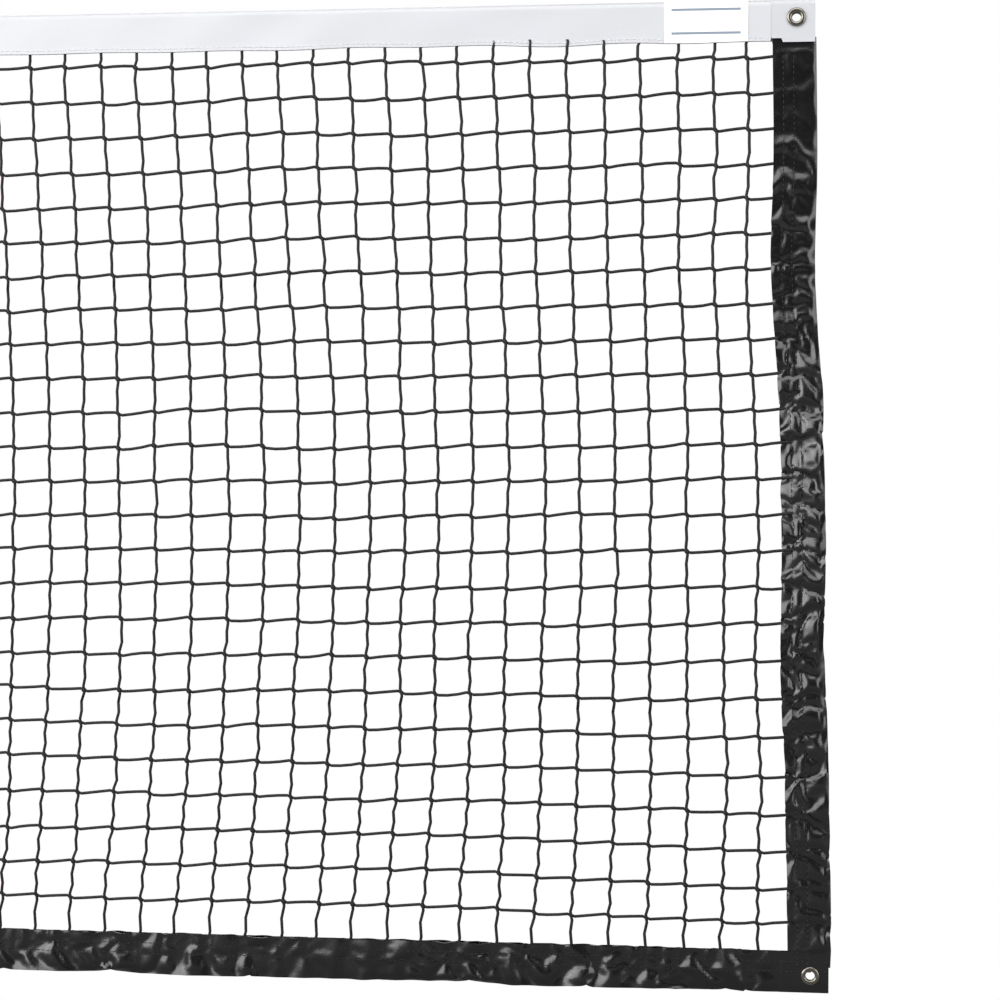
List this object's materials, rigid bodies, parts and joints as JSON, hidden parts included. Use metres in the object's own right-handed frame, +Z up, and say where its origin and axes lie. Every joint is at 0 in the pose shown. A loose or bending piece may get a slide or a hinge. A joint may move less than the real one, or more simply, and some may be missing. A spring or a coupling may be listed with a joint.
{
  "type": "tennis net",
  "caption": "Full-width tennis net: white vinyl headband with an open cable sleeve, knotted black mesh, black vinyl side and bottom bands, corner eyelets.",
  "frame": {"origin": "on the court under the middle of the net, midway between its faces", "axes": "X along the net, +X to the right seen from the front, -Y out of the front, Z up"},
  "size_m": [12.759, 0.0148, 1.07],
  "materials": {
    "white_vinyl": "satin",
    "patch_vinyl": "satin",
    "label_print": "matt",
    "black_vinyl": "gloss",
    "black_twine": "matt",
    "nickel": "polished"
  },
  "bodies": {
    "headband": {"headband": "white_vinyl", "headband_end_patch_left": "patch_vinyl", "headband_end_patch_right": "patch_vinyl", "label_patch": "label_print", "eyelet_top_left": "nickel", "eyelet_top_right": "nickel", "eyelet_washer_top_left": "nickel", "eyelet_washer_top_right": "nickel"},
    "upper_net": {"netting_upper": "black_twine", "side_band_upper_left": "black_vinyl", "side_band_upper_right": "black_vinyl", "mesh_course_01": "black_twine", "mesh_course_02": "black_twine", "mesh_course_03": "black_twine", "mesh_course_04": "black_twine", "mesh_course_05": "black_twine", "mesh_course_06": "black_twine", "mesh_course_07": "black_twine", "mesh_course_08": "black_twine", "mesh_course_09": "black_twine", "mesh_course_10": "black_twine", "mesh_course_11": "black_twine", "mesh_course_12": "black_twine", "mesh_course_13": "black_twine"},
    "lower_net": {"netting_lower": "black_twine", "side_band_lower_left": "black_vinyl", "side_band_lower_right": "black_vinyl", "mesh_course_14": "black_twine", "mesh_course_15": "black_twine", "mesh_course_16": "black_twine", "mesh_course_17": "black_twine", "mesh_course_18": "black_twine", "mesh_course_19": "black_twine", "mesh_course_20": "black_twine", "mesh_course_21": "black_twine", "mesh_course_22": "black_twine", "mesh_course_23": "black_twine", "mesh_course_24": "black_twine", "mesh_course_25": "black_twine"},
    "hem": {"bottom_band": "black_vinyl", "eyelet_bottom_left": "nickel", "eyelet_bottom_right": "nickel", "eyelet_washer_bottom_left": "nickel", "eyelet_washer_bottom_right": "nickel"}
  },
  "joints": [
    {"name": "net_swing", "type": "hinge", "parent": "headband", "child": "upper_net", "pos_m": [0, 0, 1.0222], "axis": [1, 0, 0], "range_deg": [-80, 80]},
    {"name": "mid_fold", "type": "hinge", "parent": "upper_net", "child": "lower_net", "pos_m": [0, 0, 0.527], "axis": [1, 0, 0], "range_deg": [-80, 80]},
    {"name": "hem_fold", "type": "hinge", "parent": "lower_net", "child": "hem", "pos_m": [0, 0, 0.0478], "axis": [1, 0, 0], "range_deg": [-80, 80]}
  ]
}
